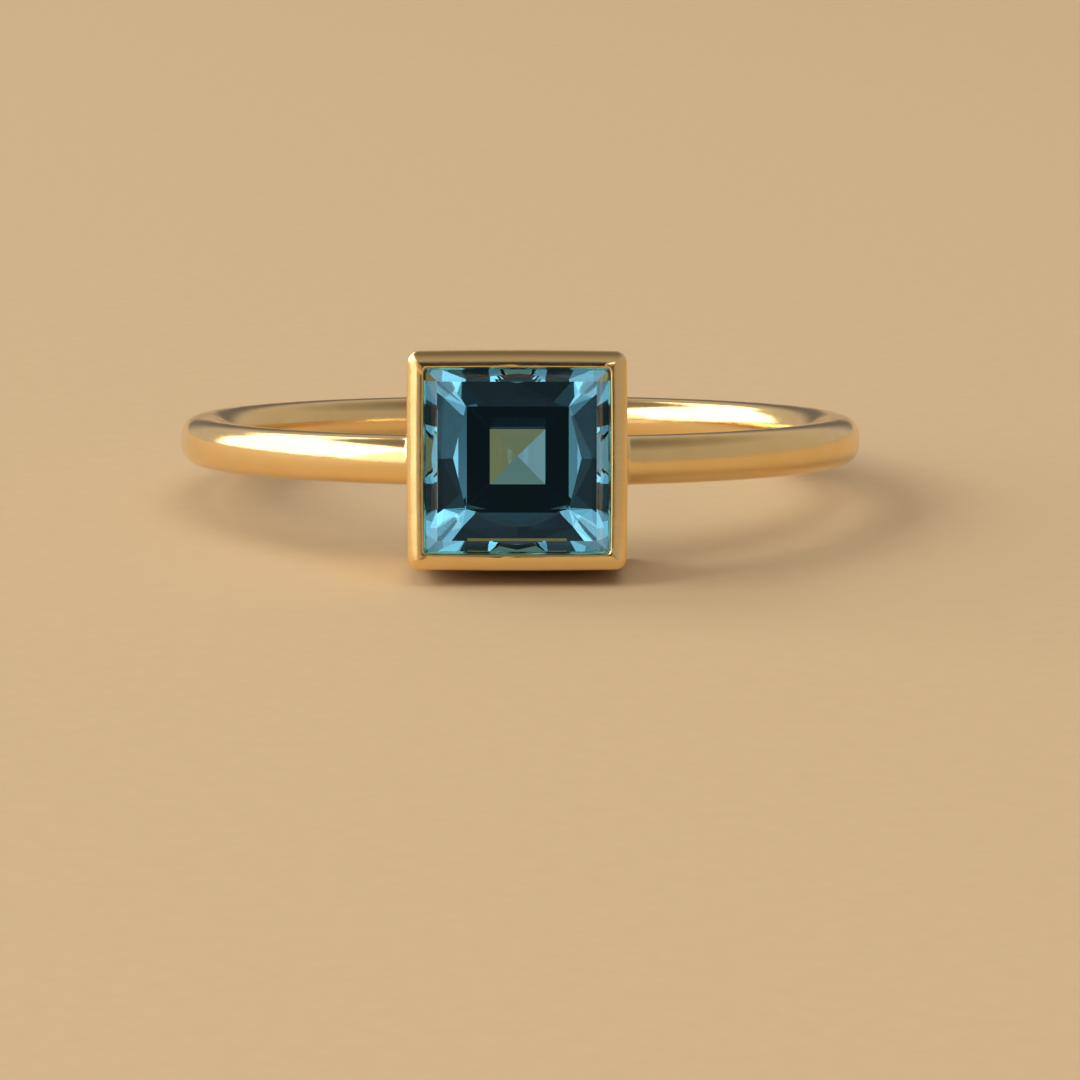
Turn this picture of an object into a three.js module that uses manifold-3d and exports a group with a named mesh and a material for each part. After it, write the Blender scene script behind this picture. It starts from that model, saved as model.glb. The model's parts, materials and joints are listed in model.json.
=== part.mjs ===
// A stackable finger ring: a plain round band with a square bezel that holds one square blue stone.
// Millimetres, +Z up. The ring lies on its side as it rests by itself: the far side of the band and the back
// edge of the bezel touch the surface, and the stone faces -Y. The origin is under the middle of the ring.

import * as THREE from 'three';
import { ConvexGeometry } from 'three/addons/geometries/ConvexGeometry.js';
import { mergeVertices } from 'three/addons/utils/BufferGeometryUtils.js';
import Module from 'manifold-3d';

// Band
const FINGER_DIAMETER = 17.3;
const BAND_THICKNESS = 1.4; // across, from the finger outwards
const BAND_WIDTH = 1.4; // along the finger
const BAND_SQUARENESS = 2.4; // 2 is an oval section, and more is squarer
const BAND_STEPS = 96; // round the finger
const SECTION_STEPS = 20; // round the band's section

// Stone
const STONE_WIDTH = 5.4;
const TABLE_WIDTH = 4.4;
const CROWN_HEIGHT = 0.5;
const GIRDLE_THICKNESS = 0.1;
const PAVILION_DEPTH = 2.75;
const CULET_CLEARANCE = 0.2; // from the stone's point to the finger

// Bezel
const STONE_GAP = 0.06; // between the stone and the metal round it
const BEZEL_WALL = 0.29; // outside the stone's girdle
const BEZEL_CORNER = 0.3; // radius of the upright corners
const BEZEL_RISE = 0.2; // how far the bezel's middle stands above the band's
const RIM_ROUNDING = 0.22; // radius of the rim's outer edge
const RIM_LAP = 0.18; // how far the rim laps over the stone
const RIM_BEVEL = 0.12; // width of the slope from the rim down to the stone
const MOUTH_CORNER = 0.12; // radius of the opening's corners
const TABLE_RISE = 0.05; // how far the stone's table stands above the rim
const SEAT_WIDTH = 0.5; // the ledge under the stone's edge
const CORNER_STEPS = 5; // in each rounded corner

// Where things lie, counted outwards from the middle of the finger hole
const FINGER_RADIUS = FINGER_DIAMETER / 2;
const BAND_MIDDLE = FINGER_RADIUS + BAND_THICKNESS / 2;
const CULET_LEVEL = FINGER_RADIUS + CULET_CLEARANCE;
const GIRDLE_LEVEL = CULET_LEVEL + PAVILION_DEPTH;
const TABLE_LEVEL = GIRDLE_LEVEL + GIRDLE_THICKNESS + CROWN_HEIGHT;
const RIM_LEVEL = TABLE_LEVEL - TABLE_RISE;
const BEZEL_HALF = STONE_WIDTH / 2 + STONE_GAP + BEZEL_WALL;
const MOUTH_HALF = STONE_WIDTH / 2 - RIM_LAP;

// The pavilion's corners, as shares of the stone's width and of the pavilion's depth. The squares carry the
// four ridges that run from the edge towards the point. The middles are the points halfway along the sides,
// and stand out past a straight side, so that long facets fan out from each corner.
const PAVILION_SQUARES = [
  { width: 1, depth: 0 },
  { width: 0.53, depth: 0.604 },
  { width: 0.285, depth: 0.845 },
];
const PAVILION_MIDDLES = [
  { width: 0.9, depth: 0.16 },
  { width: 0.78, depth: 0.32 },
  { width: 0.66, depth: 0.465 },
];

const gold = new THREE.MeshStandardMaterial({ color: 0xd8ab5a, metalness: 1, roughness: 0.2 });
const blueStone = new THREE.MeshStandardMaterial({
  color: 0x2b7c9b,
  metalness: 0,
  roughness: 0.04,
  flatShading: true,
});

const wasm = await Module();
wasm.setup();

function toSolid(geometry) {
  const bare = geometry.clone();
  bare.deleteAttribute('normal');
  bare.deleteAttribute('uv');
  const merged = mergeVertices(bare, 1e-5);
  const mesh = new wasm.Mesh({
    numProp: 3,
    vertProperties: new Float32Array(merged.attributes.position.array),
    triVerts: new Uint32Array(merged.index.array),
  });
  return new wasm.Manifold(mesh);
}

function toGeometry(solid) {
  const mesh = solid.getMesh();
  const geometry = new THREE.BufferGeometry();
  geometry.setAttribute('position', new THREE.BufferAttribute(mesh.vertProperties, 3));
  geometry.setIndex(new THREE.BufferAttribute(mesh.triVerts, 1));
  geometry.computeVertexNormals();
  return geometry;
}

// The outline of the band's section as points (distance from the middle of the hole, height)
function bandSection() {
  const points = [];
  for (let step = 0; step < SECTION_STEPS; step += 1) {
    const angle = (step / SECTION_STEPS) * 2 * Math.PI;
    const outward = Math.cos(angle);
    const upward = Math.sin(angle);
    const across = Math.sign(outward) * Math.abs(outward) ** (2 / BAND_SQUARENESS);
    const along = Math.sign(upward) * Math.abs(upward) ** (2 / BAND_SQUARENESS);
    const radius = BAND_MIDDLE + (across * BAND_THICKNESS) / 2;
    points.push(new THREE.Vector2(radius, (along * BAND_WIDTH) / 2));
  }
  return points;
}

function band() {
  const section = bandSection();
  return new THREE.LatheGeometry([...section, section[0]], BAND_STEPS).rotateX(Math.PI / 2);
}

function roundedSquare(half, radius) {
  const flat = half - radius;
  const shape = new THREE.Shape();
  shape.absarc(flat, flat, radius, 0, Math.PI / 2);
  shape.absarc(-flat, flat, radius, Math.PI / 2, Math.PI);
  shape.absarc(-flat, -flat, radius, Math.PI, 1.5 * Math.PI);
  shape.absarc(flat, -flat, radius, 1.5 * Math.PI, 2 * Math.PI);
  return shape;
}

// The setting's shapes are drawn with +Z pointing away from the finger, turned to face -Y and raised
function faceForward(geometry) {
  return geometry.rotateX(Math.PI / 2).translate(0, 0, BEZEL_RISE);
}

function bezelBlock() {
  const outline = roundedSquare(BEZEL_HALF - RIM_ROUNDING, BEZEL_CORNER - RIM_ROUNDING);
  const block = new THREE.ExtrudeGeometry(outline, {
    depth: RIM_LEVEL - RIM_ROUNDING,
    bevelThickness: RIM_ROUNDING,
    bevelSize: RIM_ROUNDING,
    bevelSegments: CORNER_STEPS,
    curveSegments: CORNER_STEPS,
  });
  return faceForward(block);
}

function fingerHole() {
  const length = 4 * BEZEL_HALF;
  return new THREE.CylinderGeometry(FINGER_RADIUS, FINGER_RADIUS, length, BAND_STEPS).rotateX(Math.PI / 2);
}

// The square well under the stone, open to the finger
function seatWell() {
  const outline = roundedSquare(STONE_WIDTH / 2 - SEAT_WIDTH, MOUTH_CORNER);
  return faceForward(new THREE.ExtrudeGeometry(outline, {
    depth: GIRDLE_LEVEL,
    bevelEnabled: false,
    curveSegments: CORNER_STEPS,
  }));
}

// The opening that shows the stone: its sides slope out from the stone to the front of the rim. The second
// outline lies beyond the rim, so that the cut goes right through.
function mouth() {
  const rise = RIM_LEVEL - GIRDLE_LEVEL;
  const points = [];
  for (const share of [0, 2]) {
    const outline = roundedSquare(MOUTH_HALF + share * RIM_BEVEL, MOUTH_CORNER);
    for (const point of outline.getPoints(CORNER_STEPS)) {
      points.push(new THREE.Vector3(point.x, point.y, GIRDLE_LEVEL + share * rise));
    }
  }
  return faceForward(new ConvexGeometry(points));
}

// The same point on each of the stone's four sides
function fourPoints(x, y, level) {
  const point = new THREE.Vector3(x, y, level);
  const quarter = new THREE.Vector3(0, 0, 1);
  return [0, 1, 2, 3].map((turn) => point.clone().applyAxisAngle(quarter, (turn * Math.PI) / 2));
}

// The cut stone, with its girdle's lower edge at height 0. With a gap, it is the larger shape of its seat.
function stone(gap) {
  const edge = STONE_WIDTH / 2 + gap;
  const table = TABLE_WIDTH / 2 + gap;
  const points = [
    ...fourPoints(table, table, GIRDLE_THICKNESS + CROWN_HEIGHT + gap),
    ...fourPoints(edge, edge, GIRDLE_THICKNESS),
  ];
  for (const square of PAVILION_SQUARES) {
    const half = (square.width * STONE_WIDTH) / 2 + gap;
    points.push(...fourPoints(half, half, -square.depth * PAVILION_DEPTH));
  }
  for (const middle of PAVILION_MIDDLES) {
    const half = (middle.width * STONE_WIDTH) / 2 + gap;
    points.push(...fourPoints(half, 0, -middle.depth * PAVILION_DEPTH));
  }
  points.push(new THREE.Vector3(0, 0, -PAVILION_DEPTH - gap));
  return new ConvexGeometry(points);
}

function shankAndBezel() {
  const seatCutter = faceForward(stone(STONE_GAP).translate(0, 0, GIRDLE_LEVEL));
  const metal = toSolid(bezelBlock())
    .subtract(toSolid(fingerHole()))
    .add(toSolid(band()))
    .subtract(toSolid(seatWell()))
    .subtract(toSolid(mouth()))
    .subtract(toSolid(seatCutter));
  const mesh = new THREE.Mesh(toGeometry(metal), gold);
  mesh.name = 'shank_and_bezel';
  return mesh;
}

function squareStone() {
  const mesh = new THREE.Mesh(stone(0), blueStone);
  mesh.name = 'square_stone';
  mesh.rotation.x = Math.PI / 2;
  mesh.position.set(0, -GIRDLE_LEVEL, BEZEL_RISE);
  return mesh;
}

// The ring leans back until the far side of the band and the back edge of the bezel are level
function restingLean() {
  const edgeReach = Math.sqrt(FINGER_RADIUS ** 2 - (BEZEL_HALF - BEZEL_CORNER) ** 2);
  const edgeDrop = BEZEL_HALF - BEZEL_RISE;
  const slopes = bandSection().map((point) => Math.atan2(point.y + edgeDrop, point.x + edgeReach));
  return Math.min(...slopes);
}

const leaningRing = new THREE.Group();
leaningRing.add(shankAndBezel(), squareStone());
leaningRing.rotation.x = -restingLean();

const ring = new THREE.Group();
ring.add(leaningRing);
const box = new THREE.Box3().setFromObject(ring, true);
leaningRing.position.set(0, -(box.min.y + box.max.y) / 2, -box.min.z);

export default ring;
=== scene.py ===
import json
import math

import bmesh
import bpy
from mathutils import Matrix, Vector


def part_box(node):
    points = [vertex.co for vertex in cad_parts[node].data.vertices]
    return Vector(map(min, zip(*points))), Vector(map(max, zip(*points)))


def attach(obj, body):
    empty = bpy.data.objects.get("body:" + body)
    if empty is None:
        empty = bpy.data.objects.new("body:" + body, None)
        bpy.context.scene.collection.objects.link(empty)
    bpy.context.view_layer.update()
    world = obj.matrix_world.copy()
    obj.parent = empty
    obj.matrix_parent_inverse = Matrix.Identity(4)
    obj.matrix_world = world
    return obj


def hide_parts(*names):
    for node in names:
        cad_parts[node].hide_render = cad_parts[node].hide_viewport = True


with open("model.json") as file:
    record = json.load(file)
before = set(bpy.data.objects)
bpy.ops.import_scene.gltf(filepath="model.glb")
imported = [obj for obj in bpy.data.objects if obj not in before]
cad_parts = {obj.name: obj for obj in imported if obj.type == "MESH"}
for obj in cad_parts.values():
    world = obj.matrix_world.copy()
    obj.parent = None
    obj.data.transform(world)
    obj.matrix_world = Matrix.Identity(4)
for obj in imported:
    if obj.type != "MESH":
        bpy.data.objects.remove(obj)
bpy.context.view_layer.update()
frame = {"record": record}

MM = 0.001

# The ring's own sizes
FINGER_RADIUS = 8.65 * MM
BAND_THICKNESS = 1.4 * MM
BAND_WIDTH = 1.4 * MM
BAND_SQUARENESS = 2.4
STONE_HALF = 2.7 * MM
GIRDLE_LEVEL = 11.6 * MM
GIRDLE_THICKNESS = 0.1 * MM
RIM_LEVEL = 12.15 * MM
BEZEL_HALF = 3.05 * MM
BEZEL_CORNER = 0.3 * MM
RIM_ROUNDING = 0.22 * MM
RIM_LAP = 0.18 * MM
RIM_BEVEL = 0.07 * MM
MOUTH_CORNER = 0.12 * MM
SEAT_WIDTH = 0.5 * MM
STONE_GAP = 0.06 * MM
EDGE_SOFTENING = 0.05 * MM
LIP_HEIGHT = 0.24 * MM  # of the metal's inner edge above the stone's girdle
LIP_UNDERCUT = 0.01 * MM
LIP_THICKNESS = 0.03 * MM
SEAT_DROP = 0.2 * MM  # how much deeper the seat's slope falls than it is wide
BEZEL_BOW = 0.03 * MM  # how far a side's ends fall back from its middle
TOP_TAPER = 0.17 * MM  # how far the upper wall falls towards the finger
BEZEL_RISE = 0.2 * MM  # how far the bezel's middle stands above the band's
SOLDER_FILLET = 0.12 * MM
BURIED_END = 0.4 * MM  # how far the band's ends reach into the bezel's walls

CROWN_HEIGHT = 0.5 * MM
PAVILION_DEPTH = 2.75 * MM
TABLE_HALF = 2.2 * MM

# How finely the metal is drawn
SECTION_STEPS = 56
BAND_STEPS = 300
WALL_ROWS = 16
RIM_ROWS = 14
CORNER_STEPS = 8
SIDE_STEPS = 22
FILLET_CUTS = (0.04, 0.15, 0.35, 0.6, 1.0)  # shares of the fillet's reach along the band
SMALLEST_CORNER = 0.02 * MM
SHARP_FROM = math.radians(50.0)

# The pavilion's corners as shares of the stone's half width and of the pavilion's depth. The squares carry
# the four ridges, and the middles stand out past a straight side, so that facets fan out from each corner.
PAVILION_SQUARES = ((1.0, 0.0), (0.53, 0.604), (0.285, 0.845))
PAVILION_MIDDLES = ((0.9, 0.16), (0.78, 0.32), (0.66, 0.465))

# How far the ring leans back as it rests
stack_axis = frame["record"]["mounts"][0]["axis"]
LEAN = math.atan2(stack_axis[1], stack_axis[2])
ring_low, ring_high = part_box("shank_and_bezel")


def ring_to_floor():
    """Carries the upright ring, whose middle is at the origin and whose stone faces -Y, to where it rests."""
    turn = Matrix.Rotation(-LEAN, 4, "X")
    front = (turn @ Vector((0.0, -RIM_LEVEL, BEZEL_RISE - BEZEL_HALF + RIM_ROUNDING))).y
    top = (turn @ Vector((0.0, -RIM_LEVEL + RIM_ROUNDING, BEZEL_RISE + BEZEL_HALF))).z
    reach = RIM_ROUNDING * (1 - math.cos(LEAN))
    move = Vector((0.0, ring_low.y - front, ring_high.z - top - reach))
    return Matrix.Translation(move) @ turn


PLACE = ring_to_floor()
RING_MIDDLE = PLACE @ Vector((0.0, 0.0, 0.0))


def finished(name, bm, material, smooth=True):
    """Turns a bmesh in the upright ring's place into an object in the resting ring's place."""
    bm.transform(PLACE)
    bmesh.ops.recalc_face_normals(bm, faces=bm.faces)
    mesh = bpy.data.meshes.new(name)
    bm.to_mesh(mesh)
    bm.free()
    mesh.polygons.foreach_set("use_smooth", [smooth] * len(mesh.polygons))
    piece = bpy.data.objects.new(name, mesh)
    bpy.context.scene.collection.objects.link(piece)
    piece.data.materials.append(material)
    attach(piece, "root")
    return piece


class Value:
    """A shader socket that takes part in Python sums."""

    def __init__(self, graph, socket):
        self.graph = graph
        self.socket = socket

    def __add__(self, other):
        return self.graph.sum("ADD", self, other)

    def __mul__(self, other):
        return self.graph.sum("MULTIPLY", self, other)

    def __rsub__(self, other):
        return self.graph.sum("SUBTRACT", other, self)

    __radd__ = __add__


class Graph:
    """The node tree of one material or world."""

    def __init__(self, owner):
        owner.use_nodes = True
        self.tree = owner.node_tree
        self.tree.nodes.clear()

    def node(self, kind, settings=None, inputs=None):
        node = self.tree.nodes.new(kind)
        for name, value in (settings or {}).items():
            if name == "stops":
                self.set_stops(node.color_ramp, value)
            else:
                setattr(node, name, value)
        for name, value in (inputs or {}).items():
            if isinstance(value, Value):
                self.tree.links.new(value.socket, node.inputs[name])
            else:
                node.inputs[name].default_value = value
        return node

    def get(self, kind, output, settings=None, inputs=None):
        return Value(self, self.node(kind, settings, inputs).outputs[output])

    def sum(self, operation, first, second):
        return self.get("ShaderNodeMath", 0, {"operation": operation}, {0: first, 1: second})

    def mix(self, share, first, second):
        inputs = {0: share, 6: first, 7: second}
        return self.get("ShaderNodeMix", 2, {"data_type": "RGBA"}, inputs)

    def ramp(self, value, *stops):
        """A grey that follows the value from stop to stop, each stop being a position and a shade."""
        return self.get("ShaderNodeValToRGB", 0, {"stops": stops}, {0: value})

    def set_stops(self, ramp, stops):
        while len(ramp.elements) < len(stops):
            ramp.elements.new(1.0)
        for element, (position, shade) in zip(ramp.elements, stops):
            element.position = position
            element.color = (shade, shade, shade, 1.0)

    def place(self, scale=(1.0, 1.0, 1.0), turn=(0.0, 0.0, 0.0)):
        """Object coordinates in metres, centred on the ring and then turned and scaled."""
        where = self.get("ShaderNodeTexCoord", "Object")
        inputs = {"Vector": where, "Rotation": turn, "Scale": scale}
        return self.get("ShaderNodeMapping", 0, {"vector_type": "POINT"}, inputs)

    def noise(self, where, detail=3.0, roughness=0.5):
        inputs = {"Vector": where, "Scale": 1.0, "Detail": detail, "Roughness": roughness}
        return self.get("ShaderNodeTexNoise", "Fac", None, inputs)

    def output(self, shader, socket="Surface", kind="ShaderNodeOutputMaterial"):
        out = self.node(kind)
        self.tree.links.new(shader.outputs[0], out.inputs[socket])
        return out


# The gold's unevenness, in waves to the metre
GRAIN_SCALE = (9 / MM, 9 / MM, 9 / MM)
BRUSHING_SCALE = (0.7 / MM, 3 / MM, 26 / MM)
HAND_SCALE = (0.8 / MM, 0.8 / MM, 0.8 / MM)

GOLD_COLOUR = (0.94, 0.69, 0.335, 1.0)
DULL_GOLD_COLOUR = (0.84, 0.57, 0.23, 1.0)

STONE_TINT = (0.235, 0.72, 0.823, 1.0)
STONE_ABSORPTION = 340.0  # to the metre
STONE_INDEX = 1.62


def polished_gold():
    """Polished yellow gold with a fine grain, faint lines along the band and duller patches from wear."""
    material = bpy.data.materials.new("polished_yellow_gold")
    graph = Graph(material)
    grain = graph.noise(graph.place(GRAIN_SCALE), 4.0, 0.6)
    brushing = graph.noise(graph.place(BRUSHING_SCALE, (LEAN, 0.0, 0.0)), 4.0, 0.65)
    hand = graph.noise(graph.place(HAND_SCALE), 2.0, 0.5)
    tarnish = graph.ramp(hand, (0.42, 0.0), (0.72, 1.0))
    colour = graph.mix(tarnish * 0.35, GOLD_COLOUR, DULL_GOLD_COLOUR)
    height = grain * 0.25 + brushing * 0.2 + hand * 3.0
    bump = graph.get("ShaderNodeBump", 0, None, {"Strength": 0.18, "Distance": 0.02 * MM, "Height": height})
    shader = graph.node("ShaderNodeBsdfPrincipled", None, {
        "Base Color": colour,
        "Metallic": 1.0,
        "Roughness": 0.09 + brushing * 0.1 + tarnish * 0.06,
        "Normal": bump,
    })
    graph.output(shader)
    return material


def blue_stone():
    """Clear glass that colours the light by the way it goes through it."""
    material = bpy.data.materials.new("clear_teal_blue_stone")
    graph = Graph(material)
    shader = graph.node("ShaderNodeBsdfPrincipled", None, {
        "Base Color": (1.0, 1.0, 1.0, 1.0),
        "Roughness": 0.0,
        "IOR": STONE_INDEX,
        "Transmission Weight": 1.0,
    })
    out = graph.output(shader)
    tint = {"Color": STONE_TINT, "Density": STONE_ABSORPTION}
    depth = graph.node("ShaderNodeVolumeAbsorption", None, tint)
    graph.tree.links.new(depth.outputs[0], out.inputs["Volume"])
    return material


def band_section(bm, steps):
    """One closed outline of the band's section, standing on the X axis."""
    made = bmesh.ops.create_circle(bm, segments=steps, radius=1.0)
    middle = FINGER_RADIUS + BAND_THICKNESS / 2
    for vert in made["verts"]:
        across = math.copysign(abs(vert.co.x) ** (2 / BAND_SQUARENESS), vert.co.x)
        along = math.copysign(abs(vert.co.y) ** (2 / BAND_SQUARENESS), vert.co.y)
        vert.co = (middle + across * BAND_THICKNESS / 2, 0.0, along * BAND_WIDTH / 2)
    return made["verts"]


def shank():
    """The round band, open where the bezel sits, with a flared solder fillet at each end."""
    bm = bmesh.new()
    section = band_section(bm, SECTION_STEPS)
    middle = FINGER_RADIUS + BAND_THICKNESS / 2
    buried = math.asin((BEZEL_HALF - BURIED_END) / middle)
    start = -math.pi / 2 + buried
    bmesh.ops.rotate(bm, verts=section, cent=(0, 0, 0), matrix=Matrix.Rotation(start, 3, "Z"))
    bmesh.ops.spin(
        bm,
        geom=bm.verts[:] + bm.edges[:],
        cent=(0, 0, 0),
        axis=(0, 0, 1),
        angle=2 * math.pi - 2 * buried,
        steps=BAND_STEPS,
        use_merge=False,
        use_duplicate=False,
    )
    ends = [edge for edge in bm.edges if edge.is_boundary]
    bmesh.ops.holes_fill(bm, edges=ends, sides=0)
    for share in FILLET_CUTS:
        for side in (-1, 1):
            cut = (side * (BEZEL_HALF + share * SOLDER_FILLET), 0, 0)
            every = bm.verts[:] + bm.edges[:] + bm.faces[:]
            bmesh.ops.bisect_plane(bm, geom=every, plane_co=cut, plane_no=(1, 0, 0))
    for vert in bm.verts:
        height = abs(vert.co.x) - BEZEL_HALF
        if vert.co.y > 0 or height > SOLDER_FILLET:
            continue
        rise = max(0.0, 1 - max(height, 0.0) / SOLDER_FILLET)
        flare = SOLDER_FILLET * (1 - math.sqrt(1 - rise ** 2))
        spine = vert.co.copy()
        spine.z = 0.0
        spine = spine.normalized() * middle
        away = vert.co - spine
        inward = away.dot(spine) < 0
        vert.co = spine + away + away.normalized() * (0.0 if inward else flare)
    return bm


def bezel_stations():
    """The bezel's wall from the back of its outside, over the rim and down the inside, as rows of half width,
    corner radius and level. A level from the finger is counted from the curved back, and the others from the
    middle of the finger hole."""
    rows = []

    def row(half, corner, level, from_finger=False):
        rows.append({"half": half, "corner": corner, "level": level, "from_finger": from_finger})

    def arc(centre_half, centre_level, radius, first, last, corner, from_finger=False, steps=6, reach=None):
        for step in range(steps + 1):
            angle = math.radians(first + (last - first) * step / steps)
            half = centre_half + (reach or radius) * math.cos(angle)
            level = centre_level + radius * math.sin(angle)
            row(half, max(corner + half - centre_half, SMALLEST_CORNER), level, from_finger)

    soft = EDGE_SOFTENING
    mouth = STONE_HALF - RIM_LAP
    lip_level = GIRDLE_LEVEL + GIRDLE_THICKNESS + LIP_HEIGHT
    pocket = STONE_HALF + STONE_GAP
    well = STONE_HALF - SEAT_WIDTH
    outer = BEZEL_CORNER
    arc(BEZEL_HALF - soft, soft, soft, -90, 0, outer - soft, True)
    wall_back = FINGER_RADIUS + 2 * soft
    wall_front = RIM_LEVEL - RIM_ROUNDING
    for step in range(WALL_ROWS):
        row(BEZEL_HALF, outer, wall_back + (wall_front - wall_back) * step / WALL_ROWS)
    dome = BEZEL_HALF - mouth - RIM_BEVEL - soft
    arc(BEZEL_HALF - dome, wall_front, RIM_ROUNDING, 0, 90, outer - dome, steps=RIM_ROWS, reach=dome)
    slope = math.degrees(math.atan2(RIM_LEVEL - lip_level, RIM_BEVEL))
    arc(mouth + RIM_BEVEL + soft, RIM_LEVEL - soft, soft, 90, 90 + slope, MOUTH_CORNER + soft)
    row(mouth, MOUTH_CORNER, lip_level)
    row(mouth + LIP_UNDERCUT, MOUTH_CORNER, lip_level - LIP_THICKNESS)
    row(pocket, MOUTH_CORNER, GIRDLE_LEVEL + GIRDLE_THICKNESS + STONE_GAP)
    row(pocket, MOUTH_CORNER, GIRDLE_LEVEL)
    row(well, MOUTH_CORNER, GIRDLE_LEVEL - SEAT_WIDTH - SEAT_DROP)
    arc(well + soft, soft, soft, 180, 270, MOUTH_CORNER + soft, True)
    return rows


def bezel():
    """The square cup round the stone, with softened edges, slightly bowed sides and an upper wall that falls
    a little towards the finger."""
    outline = []
    for side in range(4):
        turn = side * math.pi / 2
        for step in range(SIDE_STEPS):
            along = -1 + 2 * step / SIDE_STEPS
            outline.append((Vector((1.0, along)), Vector((1.0, 0.0)), turn))
        for step in range(CORNER_STEPS):
            angle = (math.pi / 2) * step / CORNER_STEPS
            outline.append((Vector((1.0, 1.0)), Vector((math.cos(angle), math.sin(angle))), turn))

    def settle(verts, row):
        for vert, (core, away, turn) in zip(verts, outline):
            flat = core * (row["half"] - row["corner"]) + away * row["corner"]
            bow = BEZEL_BOW * row["half"] / BEZEL_HALF
            flat.x -= bow * (flat.y / BEZEL_HALF) ** 2 * math.copysign(1, flat.x)
            flat.y -= bow * (flat.x / BEZEL_HALF) ** 2 * (flat.y / BEZEL_HALF)
            flat.rotate(Matrix.Rotation(turn, 2))
            level = row["level"]
            if row["from_finger"]:
                level += math.sqrt(FINGER_RADIUS ** 2 - flat.x ** 2)
            behind_rim = max(0.0, RIM_LEVEL - RIM_ROUNDING - level) / (RIM_LEVEL - FINGER_RADIUS)
            flat.y -= TOP_TAPER * behind_rim * max(0.0, flat.y / BEZEL_HALF)
            vert.co = (flat.x, -level, flat.y + BEZEL_RISE)

    bm = bmesh.new()
    first = bmesh.ops.create_circle(bm, segments=len(outline), radius=1.0)["verts"]
    rows = bezel_stations()
    settle(first, rows[0])
    ring_edges = bm.edges[:]
    last = first
    for row in rows[1:]:
        made = bmesh.ops.extrude_edge_only(bm, edges=ring_edges)["geom"]
        ring_edges = [item for item in made if isinstance(item, bmesh.types.BMEdge)]
        fresh = {item for item in made if isinstance(item, bmesh.types.BMVert)}
        ring_edges = [edge for edge in ring_edges if edge.verts[0] in fresh and edge.verts[1] in fresh]
        following = []
        for vert in last:
            others = [edge.other_vert(vert) for edge in vert.link_edges]
            following.append(next(other for other in others if other in fresh))
        settle(following, row)
        last = following
    open_edges = [edge for edge in bm.edges if edge.is_boundary]
    bmesh.ops.bridge_loops(bm, edges=open_edges)
    return bm


def cut_stone(material):
    """The square stone: a flat table, a sloping crown, a thin edge and facets that run down to a point."""
    bm = bmesh.new()

    def square(half, level, turn=math.pi / 4):
        reach = half * math.sqrt(2) if turn else half
        made = bmesh.ops.create_circle(bm, segments=4, radius=reach)
        for vert in made["verts"]:
            vert.co.rotate(Matrix.Rotation(turn, 3, "Z"))
            vert.co = (vert.co.x, -level, vert.co.y + BEZEL_RISE)

    girdle_top = GIRDLE_LEVEL + GIRDLE_THICKNESS
    square(TABLE_HALF, girdle_top + CROWN_HEIGHT)
    square(STONE_HALF, girdle_top)
    for width, depth in PAVILION_SQUARES:
        square(width * STONE_HALF, GIRDLE_LEVEL - depth * PAVILION_DEPTH)
    for width, depth in PAVILION_MIDDLES:
        square(width * STONE_HALF, GIRDLE_LEVEL - depth * PAVILION_DEPTH, turn=0.0)
    bmesh.ops.create_vert(bm, co=(0.0, PAVILION_DEPTH - GIRDLE_LEVEL, BEZEL_RISE))
    hull = bmesh.ops.convex_hull(bm, input=bm.verts[:], use_existing_faces=False)
    inside = [item for item in hull["geom_interior"] if isinstance(item, bmesh.types.BMVert)]
    bmesh.ops.delete(bm, geom=inside, context="VERTS")
    loose = [edge for edge in bm.edges if not edge.link_faces]
    bmesh.ops.delete(bm, geom=loose, context="EDGES")
    bmesh.ops.dissolve_limit(bm, angle_limit=math.radians(0.5), verts=bm.verts[:], edges=bm.edges[:])
    piece = finished("cut_stone", bm, material, smooth=False)
    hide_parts("square_stone")
    return piece


def ring_metal(gold):
    """The band and the bezel as one soldered piece. Refracted rays pass it, so that the stone stays clear."""
    setting = finished("ring_metal", bezel(), gold)
    band = finished("loose_shank", shank(), gold)
    join = setting.modifiers.new("solder", "BOOLEAN")
    join.operation = "UNION"
    join.solver = "EXACT"
    join.object = band
    depsgraph = bpy.context.evaluated_depsgraph_get()
    joined = bpy.data.meshes.new_from_object(setting.evaluated_get(depsgraph))
    setting.modifiers.clear()
    setting.data = joined
    bpy.data.objects.remove(band)
    joined.polygons.foreach_set("use_smooth", [True] * len(joined.polygons))
    joined.set_sharp_from_angle(angle=SHARP_FROM)
    normals = setting.modifiers.new("even_normals", "WEIGHTED_NORMAL")
    normals.weight = 90
    setting.visible_transmission = False
    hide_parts("shank_and_bezel")
    return setting


FLOOR_HALF = 1.5
PAPER_SCALE = (1600.0, 1600.0, 1600.0)
PAPER_COLOURS = ((0.48, 0.346, 0.203, 1.0), (0.516, 0.376, 0.222, 1.0))


def paper_floor():
    """A wide sheet of pale beige paper."""
    bm = bmesh.new()
    bmesh.ops.create_grid(bm, x_segments=1, y_segments=1, size=FLOOR_HALF)
    mesh = bpy.data.meshes.new("floor")
    bm.to_mesh(mesh)
    bm.free()
    floor = bpy.data.objects.new("floor", mesh)
    bpy.context.scene.collection.objects.link(floor)
    material = bpy.data.materials.new("beige_paper")
    graph = Graph(material)
    speck = graph.noise(graph.place(PAPER_SCALE), 3.0)
    colour = graph.mix(speck, *PAPER_COLOURS)
    bump = graph.get("ShaderNodeBump", 0, None, {"Strength": 0.15, "Distance": 0.05 * MM, "Height": speck})
    graph.output(graph.node("ShaderNodeBsdfPrincipled", None, {
        "Base Color": colour,
        "Roughness": 0.8,
        "Normal": bump,
    }))
    mesh.materials.append(material)
    floor.visible_transmission = False
    return floor


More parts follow.
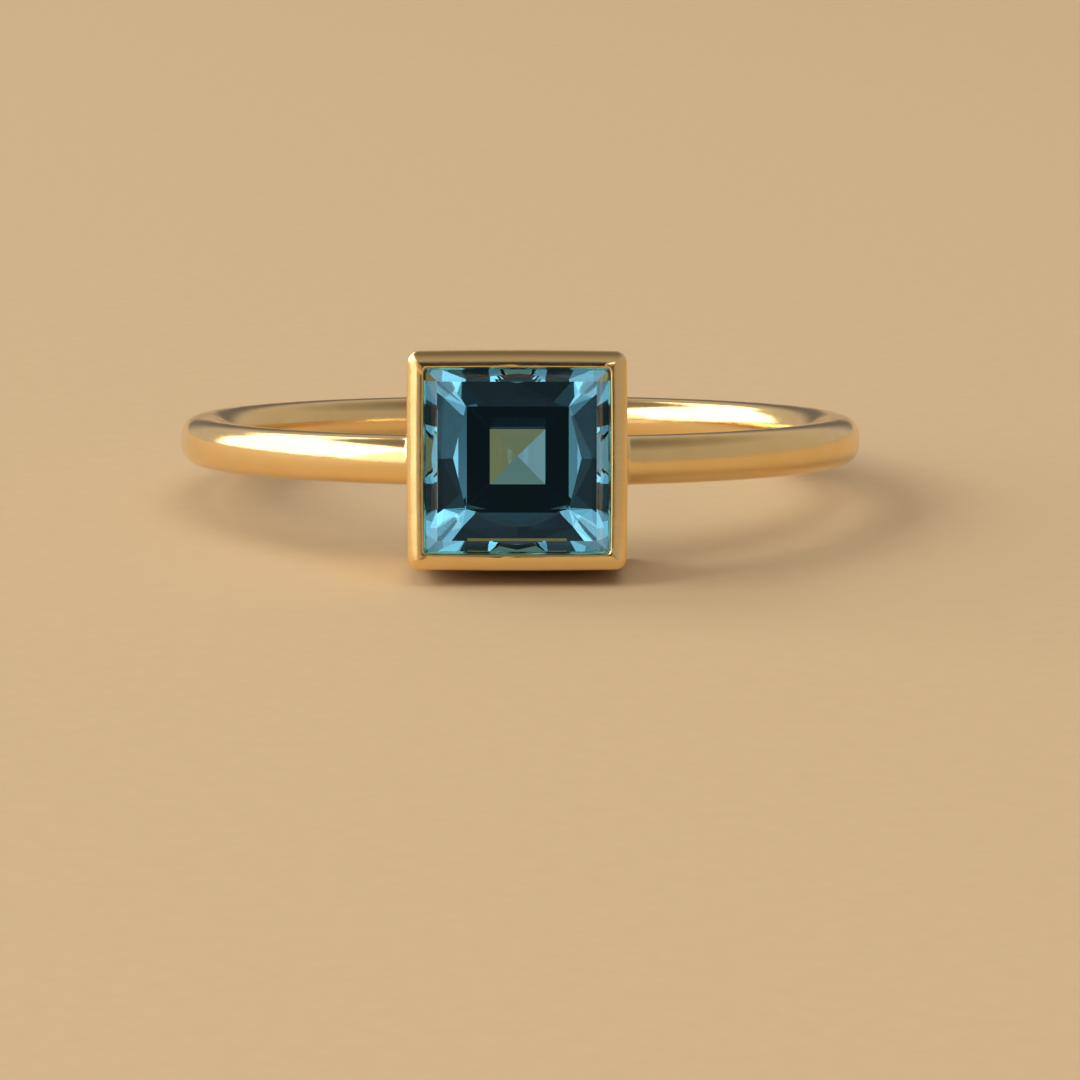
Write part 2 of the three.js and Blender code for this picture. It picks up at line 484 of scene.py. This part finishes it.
def softbox(name, place, size, power, colour):
    """A rectangular area light that faces the ring and doesn't show through the stone."""
    light = bpy.data.lights.new(name, "AREA")
    light.shape = "RECTANGLE"
    light.size, light.size_y = size
    light.energy = power
    light.color = colour
    lamp = bpy.data.objects.new(name, light)
    lamp.location = RING_MIDDLE + Vector(place)
    lamp.rotation_euler = (-Vector(place)).to_track_quat("-Z", "Y").to_euler()
    lamp.visible_transmission = False
    bpy.context.scene.collection.objects.link(lamp)
    return lamp


STONE_FACING = math.radians(10.0)  # about where the stone faces, above the horizon
ROOM_COLOUR = (1.0, 0.9, 0.78, 1.0)
ROOM_STRENGTH = 0.46
SKY_COLOUR = (0.95, 0.85, 0.88, 1.0)
SKY_STRENGTH = 2.6
SKY_LEAST = 0.018
CLOUD_SCALE = (5.0, 5.0, 5.0)
BACK_STRENGTH = 0.9
BACK_COLOUR = (0.23, 0.29, 0.24, 1.0)
BACK_WINDOW_COLOUR = (0.36, 0.45, 0.46, 1.0)
BACK_PAPER_COLOUR = (0.37, 0.265, 0.12, 1.0)


def room_light():
    """Soft warm light from all round, dimmer overhead, behind the camera and straight behind the ring. What
    the stone refracts is apart: a dark camera side in a cool bright sky, brightest on the diagonals, and warm
    paper behind the ring."""
    world = bpy.data.worlds.new("studio")
    bpy.context.scene.world = world
    graph = Graph(world)
    where = graph.get("ShaderNodeTexCoord", "Generated")
    parts = graph.node("ShaderNodeSeparateXYZ", None, {0: where})
    sideways = Value(graph, parts.outputs["X"])
    behind = Value(graph, parts.outputs["Y"])
    above = Value(graph, parts.outputs["Z"])
    forward = (0.0, -math.cos(STONE_FACING), math.sin(STONE_FACING))
    upward = (0.0, math.sin(STONE_FACING), math.cos(STONE_FACING))
    facing = graph.get("ShaderNodeVectorMath", "Value", {"operation": "DOT_PRODUCT"}, {0: where, 1: forward})
    rising = graph.get("ShaderNodeVectorMath", "Value", {"operation": "DOT_PRODUCT"}, {0: where, 1: upward})
    overhead = graph.ramp(above, (0.55, 1.0), (0.95, 0.4))
    camera_side = graph.ramp(facing, (0.975, 1.0), (0.99, 0.05))
    far_side = graph.ramp(behind, (0.88, 1.0), (0.97, 0.3))
    strength = (ROOM_STRENGTH + behind * 0.06) * overhead * camera_side * far_side
    room = graph.node("ShaderNodeBackground", None, {"Color": ROOM_COLOUR, "Strength": strength})

    sky = graph.ramp(facing, (0.0, 0.1), (0.45, 0.3), (0.7, 1.0), (0.965, 1.0), (0.99, 0.01))
    crossing = graph.sum("ABSOLUTE", sideways * rising, 0.0)
    spread = 1.01 - facing * facing
    diagonal = graph.ramp(graph.sum("DIVIDE", crossing, spread), (0.17, 0.05), (0.4, 1.0))
    cloud_place = graph.get("ShaderNodeMapping", 0, None, {"Vector": where, "Scale": CLOUD_SCALE})
    clouds = graph.ramp(graph.noise(cloud_place), (0.38, 0.35), (0.6, 1.0))
    brightness = sky * diagonal * clouds * SKY_STRENGTH + SKY_LEAST
    gleam = graph.node("ShaderNodeBackground", None, {"Color": SKY_COLOUR, "Strength": brightness})

    left_window = graph.sum("GREATER_THAN", -0.25, sideways)
    low = graph.ramp(rising * 0.5 + 0.5, (0.2, 0.1), (0.3, 1.0), (0.555, 1.0), (0.565, 0.0))
    paper = low * (1.0 - left_window)
    distance = graph.mix(left_window, BACK_COLOUR, BACK_WINDOW_COLOUR)
    beyond_stone = graph.mix(paper, distance, BACK_PAPER_COLOUR)
    back = graph.node("ShaderNodeBackground", None, {"Color": beyond_stone, "Strength": BACK_STRENGTH})
    beyond = graph.sum("GREATER_THAN", 0.0, facing)
    refracted = graph.node("ShaderNodeMixShader", None, {0: beyond})
    graph.tree.links.new(gleam.outputs[0], refracted.inputs[1])
    graph.tree.links.new(back.outputs[0], refracted.inputs[2])
    ray = graph.get("ShaderNodeLightPath", "Is Transmission Ray")
    both = graph.node("ShaderNodeMixShader", None, {0: ray})
    graph.tree.links.new(room.outputs[0], both.inputs[1])
    graph.tree.links.new(refracted.outputs[0], both.inputs[2])
    graph.output(both, kind="ShaderNodeOutputWorld")


# The camera repeats the photograph's angle to the ring: a little above the plane of the band
VIEW_ABOVE_BAND = math.radians(3.9)
VIEW_FROM_RIGHT = math.radians(0.45)
CAMERA_DISTANCE = 170 * MM
PIXELS_PER_MM = 33.7
FRAME_PIXELS = 1080
RING_PIXEL = Vector((520.0, 438.5))


def camera():
    data = bpy.data.cameras.new("camera")
    focal_pixels = PIXELS_PER_MM * CAMERA_DISTANCE / MM
    data.sensor_width = 36.0
    data.lens = data.sensor_width * focal_pixels / FRAME_PIXELS
    data.clip_start = 0.01
    data.clip_end = 10.0
    eye = bpy.data.objects.new("camera", data)
    elevation = LEAN + VIEW_ABOVE_BAND
    back = Vector((0.0, -math.cos(elevation), math.sin(elevation)))
    back.rotate(Matrix.Rotation(VIEW_FROM_RIGHT, 3, "Z"))
    right_of_ring = math.atan((FRAME_PIXELS / 2 - RING_PIXEL.x) / focal_pixels)
    below_ring = math.atan((FRAME_PIXELS / 2 - RING_PIXEL.y) / focal_pixels)
    eye.location = RING_MIDDLE + back * CAMERA_DISTANCE
    eye.rotation_euler = (math.pi / 2 - elevation - below_ring, 0.0, VIEW_FROM_RIGHT - right_of_ring)
    bpy.context.scene.collection.objects.link(eye)
    bpy.context.scene.camera = eye


camera()
room_light()
softbox("window", (-0.9, 0.0, 0.495), (1.5, 0.96), 13.0, (1.0, 0.96, 0.88))
softbox("back_window", (-0.48, 0.57, 0.67), (0.45, 0.35), 1.1, (1.0, 0.96, 0.88))
softbox("left_card", (-0.6, -0.72, 0.27), (0.6, 0.66), 1.4, (1.0, 0.93, 0.82))
softbox("corner_light", (-0.69, -0.4, 0.5), (0.24, 0.24), 1.0, (1.0, 0.97, 0.92))
overhead = softbox("overhead", (0.1, -0.2, 0.7), (0.7, 0.7), 2.6, (1.0, 0.96, 0.9))
overhead.visible_glossy = False
paper_floor()
ring_metal(polished_gold())

cut_stone(blue_stone())

view_settings = bpy.context.scene.view_settings
view_settings.view_transform = "Standard"
